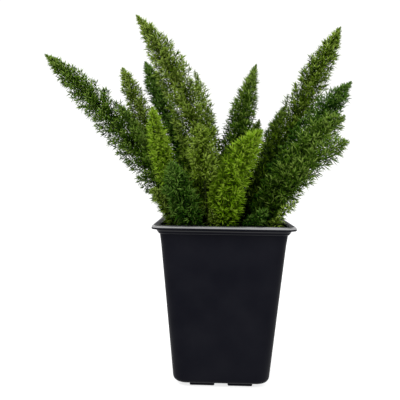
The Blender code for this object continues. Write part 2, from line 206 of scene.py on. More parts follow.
# Each leafy stem: its place on the soil, the elbow that its curve bends towards, its tip,
# the radius that its needles reach, the length over which the plume widens from its tip, and its tone.
# The seeds of their random draws follow this order.
FIRST_SEED = 100
FRONDS = {
    "far_left": ((-0.042, -0.002), (-0.099, -0.008, 0.294), (-0.223, -0.02, 0.397), 0.026, 0.046, "mid"),
    "left_short": ((-0.036, 0.016), (-0.086, 0.028, 0.274), (-0.138, 0.044, 0.395), 0.0175, 0.023, "olive"),
    "left_dark": ((-0.03, 0.036), (-0.078, 0.066, 0.264), (-0.153, 0.092, 0.352), 0.0165, 0.029, "deep"),
    "tall": ((-0.02, -0.008), (-0.016, -0.014, 0.328), (-0.11, -0.03, 0.443), 0.029, 0.052, "olive"),
    "tall_dark": ((-0.022, 0.02), (-0.058, 0.036, 0.293), (-0.109, 0.058, 0.406), 0.0185, 0.026, "deep"),
    "bright": ((-0.036, -0.036), (-0.076, -0.072, 0.267), (-0.081, -0.092, 0.327), 0.0155, 0.019, "bright"),
    "pale_front": ((-0.016, -0.034), (-0.023, -0.08, 0.248), (-0.028, -0.112, 0.307), 0.019, 0.017, "pale"),
    "sparse": ((-0.008, 0.012), (-0.008, 0.024, 0.293), (-0.041, 0.036, 0.392), 0.0175, 0.034, "olive"),
    "centre": ((0.01, 0.014), (0.009, 0.02, 0.301), (0.042, 0.036, 0.4), 0.0305, 0.067, "mid"),
    "broad_front": ((0.002, -0.038), (-0.009, -0.08, 0.248), (0.041, -0.092, 0.303), 0.024, 0.021, "bright"),
    "tall_right": ((0.026, 0.016), (0.077, 0.034, 0.302), (0.156, 0.058, 0.455), 0.0258, 0.044, "olive"),
    "right_dark": ((0.036, 0.0), (0.094, -0.002, 0.299), (0.156, -0.008, 0.37), 0.025, 0.029, "deep"),
    "right_broad": ((0.038, -0.016), (0.079, -0.036, 0.284), (0.142, -0.04, 0.324), 0.022, 0.014, "mid"),
    "right_low": ((0.04, -0.028), (0.094, -0.057, 0.281), (0.14, -0.072, 0.292), 0.0205, 0.014, "mid"),
    "right_pale": ((0.052, -0.042), (0.066, -0.068, 0.217), (0.083, -0.086, 0.224), 0.009, 0.012, "pale"),
    "left_low": ((-0.048, -0.028), (-0.065, -0.06, 0.226), (-0.083, -0.086, 0.235), 0.0145, 0.014, "olive"),
    "front_dark": ((-0.028, -0.048), (-0.052, -0.084, 0.229), (-0.058, -0.108, 0.266), 0.0205, 0.014, "deep"),
    "low_dark": ((0.024, -0.05), (0.035, -0.07, 0.203), (0.049, -0.084, 0.215), 0.0145, 0.014, "deep"),
    "sprout": ((-0.006, -0.054), (-0.01, -0.064, 0.199), (-0.017, -0.074, 0.215), 0.01, 0.012, "pale"),
    "back_small": ((0.012, 0.034), (0.029, 0.052, 0.258), (0.049, 0.062, 0.33), 0.0135, 0.019, "mid"),
    "back_right": ((0.03, 0.036), (0.05, 0.072, 0.264), (0.088, 0.096, 0.352), 0.0165, 0.021, "mid"),
    "rear_left": ((-0.018, 0.046), (-0.043, 0.092, 0.252), (-0.063, 0.134, 0.307), 0.0185, 0.023, "deep"),
    "rear": ((0.004, 0.05), (0.005, 0.104, 0.252), (0.007, 0.144, 0.297), 0.0185, 0.023, "mid"),
    "rear_right": ((0.024, 0.052), (0.056, 0.106, 0.242), (0.083, 0.14, 0.293), 0.0185, 0.023, "deep"),
    "rear_far_left": ((-0.038, 0.046), (-0.081, 0.096, 0.232), (-0.108, 0.124, 0.284), 0.0155, 0.021, "mid"),
    "rear_far_right": ((0.046, 0.036), (0.09, 0.062, 0.246), (0.132, 0.088, 0.286), 0.0155, 0.021, "mid"),
}

# Stems whose leaves start further up, as a share of the length
LEAFY_FROM = {"bright": 0.45, "pale_front": 0.54}

# How far apart the twigs stand and how long the needles are, where that isn't the usual for a plume
OPENNESS = {
    "far_left": 0.9,
    "tall_dark": 0.8,
    "pale_front": 1.2,
    "sparse": 2.6,
    "centre": 0.8,
    "right_broad": 1.4,
    "right_low": 1.6,
    "right_pale": 4.0,
    "left_low": 1.2,
    "front_dark": 1.2,
    "low_dark": 2.4,
    "sprout": 2.0,
    "rear": 0.8,
}
NEEDLE_SCALE = {
    "far_left": 0.85,
    "left_short": 0.85,
    "bright": 1.1,
    "sparse": 1.25,
    "broad_front": 1.25,
    "right_broad": 1.1,
    "right_low": 1.15,
    "left_low": 1.15,
    "front_dark": 1.15,
    "low_dark": 0.85,
    "sprout": 0.75,
    "back_small": 0.85,
}

# Plumes that are paler or darker than others of their tone, partly younger or older growth and partly painted
# shade for plumes deep in the clump
YOUTH_AND_SHADE_SHIFT = {
    "left_short": 0.16,
    "tall": 0.16,
    "tall_dark": 0.1,
    "bright": 0.16,
    "pale_front": -0.05,
    "sparse": 0.15,
    "centre": 0.12,
    "broad_front": 0.03,
    "tall_right": -0.09,
    "right_dark": 0.08,
    "right_broad": 0.04,
    "right_low": 0.05,
    "right_pale": 0.2,
    "left_low": 0.04,
    "front_dark": 0.04,
    "low_dark": -0.02,
}

# Needle colours from the old inner growth, which also serves as painted shade, to the young tips, linear
TONES = {
    "deep": ((0.001, 0.008, 0.001), (0.013, 0.048, 0.001), (0.078, 0.140, 0.022)),
    "mid": ((0.003, 0.013, 0.001), (0.036, 0.082, 0.003), (0.136, 0.202, 0.036)),
    "olive": ((0.005, 0.015, 0.001), (0.059, 0.108, 0.003), (0.176, 0.242, 0.042)),
    "bright": ((0.009, 0.026, 0.001), (0.084, 0.172, 0.001), (0.176, 0.270, 0.022)),
    "pale": ((0.008, 0.018, 0.001), (0.075, 0.130, 0.005), (0.200, 0.275, 0.045)),
}

# Surfaces: a gloss is (roughness, specular), a noise is (scale, detail), a bump is (strength, distance),
# and colours are linear, at positions along the noise
NEEDLE_GLOSS = (0.5, 0.03)
HUE_DRIFT = (55, 3)
HUE_DRIFT_SPAN = (0.3, 0.7)
HUE_DRIFT_YOUTH = 0.07
STEM_LOOK = {
    "gloss": (0.6, 0.05),
    "noise": (140, 4),
    "bump": (0.3, 0.0003),
    "colours": [(0.3, (0.007, 0.013, 0.002)), (0.7, (0.018, 0.026, 0.004))],
}
SOIL_LOOK = {
    "gloss": (0.95, 0.2),
    "noise": (260, 8),
    "bump": (0.8, 0.001),
    "colours": [
        (0.3, (0.008, 0.005, 0.003)),
        (0.55, (0.024, 0.014, 0.008)),
        (0.75, (0.060, 0.038, 0.022)),
    ],
}
CHIP_LOOK = {
    "gloss": (0.9, 0.2),
    "noise": (120, 3),
    "bump": (0.5, 0.0006),
    "colours": [
        (0.35, (0.012, 0.007, 0.004)),
        (0.55, (0.040, 0.022, 0.011)),
        (0.7, (0.105, 0.062, 0.033)),
    ],
}
PERLITE_LOOK = {
    "gloss": (0.85, 0.3),
    "noise": (900, 4),
    "bump": (0.5, 0.0004),
    "colours": [(0.3, (0.42, 0.40, 0.36)), (0.7, (0.80, 0.79, 0.75))],
}

# The pot's plastic: dust over the colour, slow waves in the roughness and a fine grain from the mould
DUST = (26, 6)
DUST_SPAN = (0.35, 0.75)
WAVES = (14, 2)
WAVE_ROUGHNESS = 0.05
MOULD_GRAIN = (1500, 2)
MOULD_BUMP = (0.08, 0.0001)

# Its three finishes, each with its clean and dusty colours, specular, refractive index and roughness
FINISHES = {
    "pot_black_plastic": ((0.0024, 0.0025, 0.0046), (0.0046, 0.0047, 0.0070), 0.05, 1.4, 0.42),
    # The smooth rim's pale grey colours, clean and dusty, are a painted sheen on the black plastic
    "pot_smooth_rim_painted_sheen": ((0.050, 0.050, 0.052), (0.074, 0.074, 0.076), 1.0, 2.1, 0.22),
    "pot_ridge": ((0.0024, 0.0025, 0.0046), (0.0046, 0.0047, 0.0070), 0.35, 1.5, 0.3),
}
DULL, SMOOTH_PAINTED_SHEEN, RIDGE = range(len(FINISHES))

# Stage: each light has its place about the aim point, its size and its watts
FLOOR_RADIUS = 6.0
FLOOR_SIDES = 96
FLOOR_DROP = 0.0002
FLOOR_GLOSS = (0.9, 0.1)
FLOOR_GREY = 0.3
FLOOR_GLOW = 0.76
SKY_STRENGTH = 1.08
AIM_HEIGHT = 0.25
LIGHTS = {
    "key": ((-0.9, -1.1, 1.3), 1.3, 38),
    "fill": ((1.2, -1.0, 0.9), 1.3, 20),
    "top": ((0.1, 0.2, 1.3), 1.2, 13),
}


def unit(rows):
    return rows / np.linalg.norm(rows, axis=-1, keepdims=True)


# Materials

def new_material(name, roughness, specular):
    material = bpy.data.materials.new(name)
    material.use_nodes = True
    shader = material.node_tree.nodes["Principled BSDF"]
    shader.inputs["Roughness"].default_value = roughness
    shader.inputs["Specular IOR Level"].default_value = specular
    return material, material.node_tree, shader


def node(tree, kind, **settings):
    made = tree.nodes.new(kind)
    for name, value in settings.items():
        setattr(made, name, value)
    return made


def colour_along(tree, shader, source, stops):
    """Colours the surface by a value: stops are (position, colour) pairs."""
    ramp = node(tree, "ShaderNodeValToRGB")
    elements = ramp.color_ramp.elements
    while len(elements) < len(stops):
        elements.new(0.5)
    for element, (position, colour) in zip(elements, stops):
        element.position = position
        element.color = (*colour, 1)
    tree.links.new(source, ramp.inputs["Fac"])
    tree.links.new(ramp.outputs["Color"], shader.inputs["Base Color"])


def noise_of(tree, scale, detail):
    """The value of a noise in the object's own space."""
    place = node(tree, "ShaderNodeTexCoord")
    texture = node(tree, "ShaderNodeTexNoise")
    texture.inputs["Scale"].default_value = scale
    texture.inputs["Detail"].default_value = detail
    tree.links.new(place.outputs["Object"], texture.inputs["Vector"])
    return texture.outputs["Fac"]


def map_span(tree, value, low, high, span=(0, 1)):
    """A value that runs from low to high over a span of another."""
    mapped = node(tree, "ShaderNodeMapRange")
    limits = {"From Min": span[0], "From Max": span[1], "To Min": low, "To Max": high}
    for name, limit in limits.items():
        mapped.inputs[name].default_value = limit
    tree.links.new(value, mapped.inputs["Value"])
    return mapped.outputs["Result"]


def add_bump(tree, shader, height, strength, distance):
    bump = node(tree, "ShaderNodeBump")
    bump.inputs["Strength"].default_value = strength
    bump.inputs["Distance"].default_value = distance
    tree.links.new(height, bump.inputs["Height"])
    tree.links.new(bump.outputs["Normal"], shader.inputs["Normal"])


def grainy_material(name, look):
    """A matt surface whose colour and bumps follow one noise."""
    material, tree, shader = new_material(name, *look["gloss"])
    grain = noise_of(tree, *look["noise"])
    colour_along(tree, shader, grain, look["colours"])
    add_bump(tree, shader, grain, *look["bump"])
    return material


def needle_material(tone):
    """Green that runs from the old inner needles and painted shade to the young ones, with slow drifts of
    hue.
    """
    material, tree, shader = new_material("needles_" + tone, *NEEDLE_GLOSS)
    old, full, young = TONES[tone]
    youth_and_shade_node = node(tree, "ShaderNodeAttribute", attribute_name="youth_and_shade")
    drift = noise_of(tree, *HUE_DRIFT)
    shift = map_span(tree, drift, -HUE_DRIFT_YOUTH, HUE_DRIFT_YOUTH, HUE_DRIFT_SPAN)
    total = node(tree, "ShaderNodeMath", operation="ADD", use_clamp=True)
    tree.links.new(youth_and_shade_node.outputs["Fac"], total.inputs[0])
    tree.links.new(shift, total.inputs[1])
    colour_along(tree, shader, total.outputs[0], [(0.0, old), (0.5, full), (1.0, young)])
    return material


def stem_material():
    """Dark green with faint streaks."""
    return grainy_material("stem_green", STEM_LOOK)


def soil_material():
    """Nearly black fibrous mix with brown crumbs."""
    return grainy_material("potting_mix", SOIL_LOOK)


def chip_material():
    """Bark chips, from nearly black to a warm brown."""
    return grainy_material("bark_chips", CHIP_LOOK)


def perlite_material():
    """Off-white pitted lumps."""
    return grainy_material("perlite", PERLITE_LOOK)


def pot_material(name):
    """Black polypropylene: a fine grain from the mould, slow waves in its gloss, and a little dust; the
    smooth rim's finish is pale grey, a painted sheen.
    """
    clean, dusty, specular, index, roughness = FINISHES[name]
    material, tree, shader = new_material(name, roughness, specular)
    shader.inputs["IOR"].default_value = index
    colour_along(tree, shader, noise_of(tree, *DUST), list(zip(DUST_SPAN, (clean, dusty))))
    low, high = roughness - WAVE_ROUGHNESS, roughness + WAVE_ROUGHNESS
    waves = map_span(tree, noise_of(tree, *WAVES), low, high)
    tree.links.new(waves, shader.inputs["Roughness"])
    add_bump(tree, shader, noise_of(tree, *MOULD_GRAIN), *MOULD_BUMP)
    return material


# Meshes

def new_object(name, data, group=None):
    """An object with its data, linked to a collection or else to the scene."""
    made = bpy.data.objects.new(name, data)
    (group or bpy.context.scene.collection).objects.link(made)
    return made


def new_piece(name, mesh, materials, body="root"):
    piece = new_object(name, mesh)
    for material in materials:
        mesh.materials.append(material)
    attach(piece, body)
    return piece


class Shapes:
    """Gathers closed shapes, with a value of youth and painted shade for each point and a material for each
    face, into one mesh.
    """

    def __init__(self):
        self.points = []
        self.faces = []
        self.youth_and_shade = []
        self.slots = []
        self.count = 0

    def add(self, points, faces, youth_and_shade, slot):
        """Points are (copies, points in a copy, 3), faces index one copy, and youth and painted shade fit the
        points.
        """
        copies, each = points.shape[:2]
        starts = self.count + np.arange(copies) * each
        self.points.append(points.reshape(-1, 3))
        self.faces.append((faces[None] + starts[:, None, None]).reshape(-1, 3))
        self.youth_and_shade.append(np.broadcast_to(youth_and_shade, (copies, each)).reshape(-1))
        self.slots.append(np.full(copies * len(faces), slot))
        self.count += copies * each

    def mesh(self, name):
        mesh = bpy.data.meshes.new(name)
        points = np.concatenate(self.points)
        faces = np.concatenate(self.faces)
        mesh.from_pydata(points.tolist(), [], faces.tolist())
        youth_and_shade = mesh.attributes.new("youth_and_shade", "FLOAT", "POINT")
        youth_and_shade.data.foreach_set("value", np.concatenate(self.youth_and_shade).astype(np.float32))
        mesh.polygons.foreach_set("material_index", np.concatenate(self.slots).astype(np.int32))
        mesh.shade_smooth()
        mesh.update()
        return mesh


def tube_faces(sides, rings):
    """Triangles of a tube with a ring of points per step, closed by a point at each end."""
    faces = []
    last = sides * rings
    for i in range(sides):
        j = (i + 1) % sides
        faces.append((last, j, i))
        faces.append((last + 1, last - sides + i, last - sides + j))
        for step in range(rings - 1):
            low, high = step * sides, (step + 1) * sides
            faces.append((low + i, low + j, high + j))
            faces.append((low + i, high + j, high + i))
    return np.array(faces)


def tube_points(centres, radii, side, other, sides):
    """Points of tubes: centres is (copies, rings, 3), and side and other span each ring."""
    angles = np.arange(sides) * 2 * math.pi / sides
    around = side[:, :, None] * np.cos(angles)[:, None] + other[:, :, None] * np.sin(angles)[:, None]
    rings = centres[:, :, None] + around * radii[..., None, None]
    ends = centres[:, [0, -1]]
    return np.concatenate([rings.reshape(len(centres), -1, 3), ends], axis=1)


# Where the pot's middle, rim, wall and soil are

class Pot:
    """The pot's box and soil level in the frame, and the wall at any height."""

    def __init__(self):
        low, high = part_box("pot")
        self.origin = np.array([(low.x + high.x) / 2, (low.y + high.y) / 2, 0])
        self.rim = (high.x - low.x) / 2
        self.height = high.z
        self.soil_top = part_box("soil")[1].z

    def band_foot(self):
        """Where the collar's upper, wider band starts."""
        return self.height - LIP_HEIGHT - COLLAR_HEIGHT * COLLAR_BAND

    def collar_foot(self):
        return self.height - LIP_HEIGHT - COLLAR_HEIGHT

    def wall_half(self, height):
        """Half the outer width of the tapered wall at a height."""
        body_foot = FLOOR_UNDERSIDE + HEEL_HEIGHT
        share = (height - body_foot) / (self.collar_foot() - body_foot)
        return BODY_BOTTOM_HALF + (BODY_TOP_HALF - BODY_BOTTOM_HALF) * share

    def wall_corner(self, height):
        return BODY_CORNER + (RIM_CORNER - BODY_CORNER) * height / self.height

    def is_clear(self, points):
        """Whether points are above the rim, or inside the opening and above the soil."""
        opening = self.rim - FLANGE_WIDTH - POT_CLEAR
        sideways = np.abs(points[..., :2] - self.origin[:2]) - (opening - RIM_CORNER)
        inside = np.hypot(*np.maximum(np.moveaxis(sideways, -1, 0), 0)) < RIM_CORNER
        above_rim = points[..., 2] > self.height + POT_CLEAR
        return above_rim | (inside & (points[..., 2] > self.soil_top + POT_CLEAR))


# Plumes

class Stem:
    """One stem's course with a frame along it, read by the share of its length from the foot."""

    def __init__(self, name, pot):
        foot, elbow, tip, self.reach, self.taper = FRONDS[name][:5]
        self.leaves_from = LEAFY_FROM.get(name, LEAVES_FROM)
        start = np.array((*foot, pot.soil_top + STEM_RISE))
        share = np.linspace(0, 1, COURSE_SAMPLES)[:, None]
        bend = start * (1 - share) ** 2 + np.array(elbow) * 2 * share * (1 - share)
        self.points = bend + np.array(tip) * share**2 + pot.origin
        steps = np.linalg.norm(np.diff(self.points, axis=0), axis=1)
        self.along = np.concatenate([[0], np.cumsum(steps)])
        self.length = self.along[-1]
        self.axis = unit(np.gradient(self.points, axis=0))
        self.side = self.carry_side()

    def carry_side(self):
        """A sideways direction carried along the course without twist."""
        side = np.cross(self.axis[0], (0, 1, 0))
        sides = []
        for axis in self.axis:
            side = side - axis * np.dot(side, axis)
            side = side / np.linalg.norm(side)
            sides.append(side)
        return np.array(sides)

    def read(self, values, share):
        place = np.clip(share, 0, 1) * self.length
        return np.stack([np.interp(place, self.along, column) for column in values.T], axis=-1)

    def frame(self, share):
        """Place, axis and two sideways directions at shares of the length."""
        axis = unit(self.read(self.axis, share))
        side = self.read(self.side, share)
        side = unit(side - axis * (side * axis).sum(-1, keepdims=True))
        return self.read(self.points, share), axis, side, np.cross(axis, side)

    def plume_radius(self, share):
        """How far the needles reach at a share of the stem's length, counted from the foot."""
        tip = 1 - np.exp((np.minimum(share, 1) - 1) * self.length / self.taper)
        foot = PLUME_FOOT_REACH + (1 - PLUME_FOOT_REACH) * np.minimum(1, share / PLUME_FULL_FROM)
        return self.reach * tip * foot


def add_stem_tube(shapes, stem, end):
    """From deep in the soil up along the course to a share of its length."""
    share = np.linspace(0, end, STEM_RINGS)
    place, _, side, other = stem.frame(share)
    place = np.concatenate([[stem.points[0] - (0, 0, STEM_DEPTH + STEM_RISE)], place])
    side = np.concatenate([side[:1], side])
    other = np.concatenate([other[:1], other])
    share = np.concatenate([[0], share])
    radii = STEM_RADIUS + (STEM_TIP_RADIUS - STEM_RADIUS) * share
    points = tube_points(place[None], radii[None], side[None], other[None], STEM_SIDES)
    shapes.add(points, tube_faces(STEM_SIDES, len(share)), 0, STEM_SLOT)


class Twigs:
    """The side twigs of a plume, each a slightly curved course from the stem outwards."""

    def __init__(self, stem, end, openness, needle, random):
        leafy = end - stem.leaves_from
        count = int(stem.length * leafy / (TWIG_STEP * openness))
        self.share = stem.leaves_from + leafy * (np.arange(count) + 0.5) / count
        self.base, self.axis, side, other = stem.frame(self.share)
        turn = np.arange(count) * TWIG_TURN + random.uniform(-1, 1, count) * TWIG_TURN_VARIES
        self.outward = side * np.cos(turn)[:, None] + other * np.sin(turn)[:, None]
        tilt = TWIG_TILT + (TWIG_TIP_TILT - TWIG_TILT) * self.share**TWIG_TILT_POWER
        self.tilt = tilt + random.uniform(-1, 1, count) * TWIG_TILT_VARIES
        total = self.find_total(stem) * (1 + random.uniform(-1, 1, count) * TWIG_LENGTH_VARIES)
        self.needle = np.minimum(needle, total * NEEDLE_MOST)
        self.length = np.maximum(total - self.needle * NEEDLE_REACH, TWIG_LEAST)
        self.youth_and_shade = random.normal(0, TWIG_YOUTH_VARIES, count)

    def find_total(self, stem):
        """How far from the stem each twig's line meets the plume's outer surface, by halving."""
        low = np.zeros(len(self.share))
        high = stem.reach / np.sin(self.tilt)
        for _ in range(LENGTH_ROUNDS):
            middle = (low + high) / 2
            surface = stem.plume_radius(self.share + middle * np.cos(self.tilt) / stem.length)
            inside = middle * np.sin(self.tilt) < surface
            low, high = np.where(inside, middle, low), np.where(inside, high, middle)
        return low

    def keep_clear(self, pot):
        """Shortens the twigs that would run into the pot or the soil."""
        every = np.arange(len(self.share))
        for _ in range(CLEAR_ROUNDS):
            ends = self.at(every, np.ones(len(every)))[0]
            self.length = np.where(pot.is_clear(ends), self.length, self.length * CLEAR_SHRINK)

    def at(self, which, part):
        """Place and direction at parts of the twigs' length."""
        length = self.length[which][..., None]
        part = part[..., None]
        tilt = self.tilt[which][..., None]
        axis, outward = self.axis[which], self.outward[which]
        straight = axis * np.cos(tilt) + outward * np.sin(tilt)
        place = self.base[which] + (straight * part + axis * TWIG_CURL * part**2 / 2) * length
        return place, unit(straight + axis * TWIG_CURL * part)


def add_twig_tubes(shapes, twigs):
    which = np.repeat(np.arange(len(twigs.share))[:, None], TWIG_RINGS, axis=1)
    part = np.broadcast_to(np.linspace(0, 1, TWIG_RINGS), which.shape)
    place, way = twigs.at(which, part)
    side = unit(np.cross(way, twigs.axis[which]))
    other = np.cross(way, side)
    radii = TWIG_RADIUS + (TWIG_END_RADIUS - TWIG_RADIUS) * part
    points = tube_points(place, radii, side, other, TWIG_SIDES)
    shapes.add(points, tube_faces(TWIG_SIDES, TWIG_RINGS), TWIG_YOUTH, NEEDLE_SLOT)


def needle_roots(twigs):
    """Each needle's twig, the part of the twig's length where it grows, its turn and its tilt."""
    rows = []
    for twig, length in enumerate(twigs.length):
        steps = max(1, round(length / NODE_STEP))
        for step in range(steps):
            for k in range(NODE_NEEDLES):
                turn = k * 2 * math.pi / NODE_NEEDLES + step * NODE_TURN
                rows.append((twig, (step + NODE_FIRST) / steps, turn, NEEDLE_TILT))
        for k in range(TUFT_NEEDLES):
            rows.append((twig, 1.0, k * 2 * math.pi / TUFT_NEEDLES, TUFT_TILT))
    return np.array(rows).T


def add_needles(shapes, twigs, pot, random, shift):
    twig, part, turn, tilt = needle_roots(twigs)
    which = twig.astype(int)
    count = len(which)
    root, way = twigs.at(which, part)
    side = unit(np.cross(way, twigs.axis[which]))
    other = np.cross(way, side)
    turn = turn + random.uniform(-1, 1, count) * NODE_TURN_VARIES
    tilt = tilt + random.uniform(-1, 1, count) * NEEDLE_TILT_VARIES
    out = side * np.cos(turn)[:, None] + other * np.sin(turn)[:, None]
    line = way * np.cos(tilt)[:, None] + out * np.sin(tilt)[:, None]
    length = twigs.needle[which] * (1 + random.uniform(-1, 1, count) * NEEDLE_LENGTH_VARIES)
    width = NEEDLE_WIDTH * (1 + random.uniform(-1, 1, count) * NEEDLE_WIDTH_VARIES)
    width = np.minimum(width, length * NEEDLE_MOST_WIDTH)
    points = needle_points(root, line, out, length, width)
    # Painted shade deep in the clump and close above the soil darkens the needles' colour
    shade = inner_shade(root - pot.origin, pot.soil_top)[:, None]
    youth_and_shade = youth_and_shade_of(twigs, which, part, random) - shade + shift
    clear = pot.is_clear(points).all(axis=1)
    shapes.add(points[clear], needle_faces(), np.clip(youth_and_shade[clear], 0, 1), NEEDLE_SLOT)


def needle_points(root, line, out, length, width):
    """A bent flattish spindle: a root point, a few points round its belly and a tip point."""
    side = unit(np.cross(line, out))
    other = np.cross(line, side)
    reach = length[:, None]
    belly = root + line * reach * NEEDLE_BELLY + other * reach * NEEDLE_BEND / 2
    tip = root + line * reach - other * reach * NEEDLE_BEND / 2
    points = [root]
    for k in range(NEEDLE_SIDES):
        angle = 2 * math.pi * k / NEEDLE_SIDES
        around = side * math.cos(angle) + other * math.sin(angle) * NEEDLE_THICKNESS
        points.append(belly + around * width[:, None] / 2)
    points.append(tip)
    return np.stack(points, axis=1)


def needle_faces():
    tip = NEEDLE_SIDES + 1
    faces = []
    for i in range(NEEDLE_SIDES):
        j = (i + 1) % NEEDLE_SIDES
        faces.append((0, 1 + j, 1 + i))
        faces.append((tip, 1 + i, 1 + j))
    return np.array(faces)


def youth_and_shade_of(twigs, which, part, random):
    """From 0 for dark needles by the stem and low on the plume, partly old growth and partly painted shade,
    to 1 for the newest ones, per point from root to tip.
    """
    grown = YOUTH_AND_SHADE_ALONG_TWIG * part + YOUTH_AND_SHADE_ALONG_STEM * twigs.share[which] + YOUTH_BASE
    grown = grown + twigs.youth_and_shade[which] + random.normal(0, YOUTH_VARIES, len(which))
    along = np.array([-YOUTH_ALONG_NEEDLE] + [0] * NEEDLE_SIDES + [YOUTH_ALONG_NEEDLE])
    return grown[:, None] + along


def inner_shade(places, soil_top):
    """How much painted shade darkens the needles deep inside the clump and close above the soil."""
    depth = 1 - np.linalg.norm((places - CLUMP_MIDDLE) / CLUMP_REACH, axis=1)
    low = 1 - (places[:, 2] - soil_top) / SOIL_SHADE_REACH
    return CLUMP_SHADE * np.clip(CLUMP_SHADE_RISE * depth, 0, 1) + SOIL_SHADE * np.clip(low, 0, 1)


def add_plume(name, pot, materials, seed):
    tone = FRONDS[name][-1]
    random = np.random.default_rng(seed)
    stem = Stem(name, pot)
    needle = NEEDLE_LENGTH * NEEDLE_SCALE.get(name, 1)
    end = 1 - needle * STEM_SHORTFALL / stem.length
    twigs = Twigs(stem, end, OPENNESS.get(name, 1), needle, random)
    twigs.keep_clear(pot)
    shapes = Shapes()
    add_stem_tube(shapes, stem, end)
    add_twig_tubes(shapes, twigs)
    add_needles(shapes, twigs, pot, random, YOUTH_AND_SHADE_SHIFT.get(name, 0))
    mesh = shapes.mesh("plume_" + name)
    piece = new_piece("plume_" + name, mesh, [materials[tone], materials["stem"]])
    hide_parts("frond_" + name)


def add_plumes(pot):
    materials = {tone: needle_material(tone) for tone in TONES}
    materials["stem"] = stem_material()
    for seed, name in enumerate(FRONDS, FIRST_SEED):
        add_plume(name, pot, materials, seed)


# Pot

def ring(half, corner, height, bulge=0):
    """A rounded square, anticlockwise from above, whose sides may swell a little."""
    points = []
    flat = half - corner
    for quarter in range(4):
        turn = Matrix.Rotation(math.pi / 2 * quarter, 2)
        for step in range(SIDE_STEPS):
            y = flat * (2 * step / SIDE_STEPS - 1)
            swell = bulge * (1 - (y / flat) ** 2)
            points.append(turn @ Vector((half + swell, y)))
        for step in range(CORNER_STEPS):
            angle = math.pi / 2 * step / CORNER_STEPS
            x, y = flat + corner * math.cos(angle), flat + corner * math.sin(angle)
            points.append(turn @ Vector((x, y)))
    return [(point.x, point.y, height) for point in points]


def loft(rings):
    """A closed solid through rings of points, capped flat at both ends."""
    shape = bmesh.new()
    rows = [[shape.verts.new(point) for point in row] for row in rings]
    count = len(rows[0])
    for lower, upper in zip(rows, rows[1:]):
        for i in range(count):
            j = (i + 1) % count
            shape.faces.new((lower[i], lower[j], upper[j], upper[i]))
    shape.faces.new(reversed(rows[0]))
    shape.faces.new(rows[-1])
    bmesh.ops.recalc_face_normals(shape, faces=shape.faces)
    return shape


def to_mesh(shape, name):
    mesh = bpy.data.meshes.new(name)
    shape.to_mesh(mesh)
    shape.free()
    return mesh


def arc(half, height, across, up, start, end):
    """(half width, height) points of an elliptic arc, whose angles are in degrees up from outward."""
    points = []
    for step in range(ARC_STEPS + 1):
        angle = math.radians(start + (end - start) * step / ARC_STEPS)
        points.append((half + across * math.cos(angle), height + up * math.sin(angle)))
    return points


def heel_profile(inset, low):
    """The rounded lower edge from the floor to the wall, drawn in by the wall's thickness inside."""
    height = FLOOR_UNDERSIDE + HEEL_HEIGHT
    floor_half = BODY_BOTTOM_HALF - HEEL_INSET
    return arc(floor_half, height, HEEL_INSET - inset, height - low, -90, 0)


def rim_profile(pot):
    """From the collar's foot up over the collar and the rolled lip to the inner edge of the flange."""
    lip_foot = pot.height - LIP_HEIGHT
    band_foot = pot.band_foot()
    edge = COLLAR_EDGE
    points = [(BODY_TOP_HALF, pot.collar_foot())]
    points += arc(COLLAR_FOOT_HALF - edge, pot.collar_foot() + edge * 2, edge, edge, -90, 0)
    points += arc(COLLAR_HALF - edge, band_foot + edge, edge, edge, -45, 0)
    points += [(COLLAR_HALF, band_foot + RIDGE_HEIGHT), (COLLAR_HALF, lip_foot)]
    points += arc(pot.rim - LIP_LOW_EDGE, lip_foot + LIP_LOW_EDGE, LIP_LOW_EDGE, LIP_LOW_EDGE, -90, 0)
    points += arc(pot.rim - LIP_TOP_EDGE, pot.height - LIP_TOP_EDGE, LIP_TOP_EDGE, LIP_TOP_EDGE, 0, 90)
    inner = pot.rim - FLANGE_WIDTH + LIP_INNER_EDGE
    points += arc(inner, pot.height - LIP_INNER_EDGE, LIP_INNER_EDGE, LIP_INNER_EDGE, 90, 180)
    return points


def pot_rings(pot):
    """The outside from the floor up to the lip, then the inside back down to the floor."""
    outside = heel_profile(0, FLOOR_UNDERSIDE)
    rings = [ring(half, BODY_CORNER - BODY_BOTTOM_HALF + half, z) for half, z in outside]
    foot, head = FLOOR_UNDERSIDE + HEEL_HEIGHT, pot.collar_foot()
    rise = [foot + (head - foot) * step / WALL_STEPS for step in range(1, WALL_STEPS)]
    for z in rise:
        rings.append(ring(pot.wall_half(z), pot.wall_corner(z), z, bulge_at(z, foot, head)))
    rings += [ring(half, RIM_CORNER + min(0, half - COLLAR_HALF), z) for half, z in rim_profile(pot)]
    for z in [head] + rise[::-1]:
        half, corner = pot.wall_half(z) - WALL, pot.wall_corner(z) - WALL
        rings.append(ring(half, corner, z, bulge_at(z, foot, head)))
    inside = heel_profile(WALL, FLOOR_UNDERSIDE + FLOOR_THICKNESS)
    rings += [ring(half, BODY_CORNER - BODY_BOTTOM_HALF + half, z) for half, z in inside[::-1]]
    return rings


def bulge_at(height, foot, head):
    return BULGE * math.sin(math.pi * (height - foot) / (head - foot))


def add_feet(group, origin):
    """Eight rounded blocks, two under each side."""
    shape = bmesh.new()
    bmesh.ops.create_cube(shape, size=1)
    height = FLOOR_UNDERSIDE + FLOOR_THICKNESS / 2
    bmesh.ops.scale(shape, vec=(FOOT_LENGTH, FOOT_DEPTH, height), verts=shape.verts)
    bmesh.ops.translate(shape, vec=(0, 0, height / 2), verts=shape.verts)
    edges = [edge for edge in shape.edges if min(v.co.z for v in edge.verts) < height / 2]
    rounding = {"offset": FOOT_EDGE, "segments": FOOT_EDGE_STEPS, "profile": 0.5, "affect": "EDGES"}
    bmesh.ops.bevel(shape, geom=edges, **rounding)
    mesh = to_mesh(shape, "foot")
    for side in range(4):
        turn = math.pi / 2 * side
        for spread in (-FOOT_SPREAD, FOOT_SPREAD):
            foot = new_object("foot", mesh, group)
            foot.location = Matrix.Rotation(turn, 3, "Z") @ Vector((spread, -FOOT_LINE, 0)) + origin
            foot.rotation_euler.z = turn


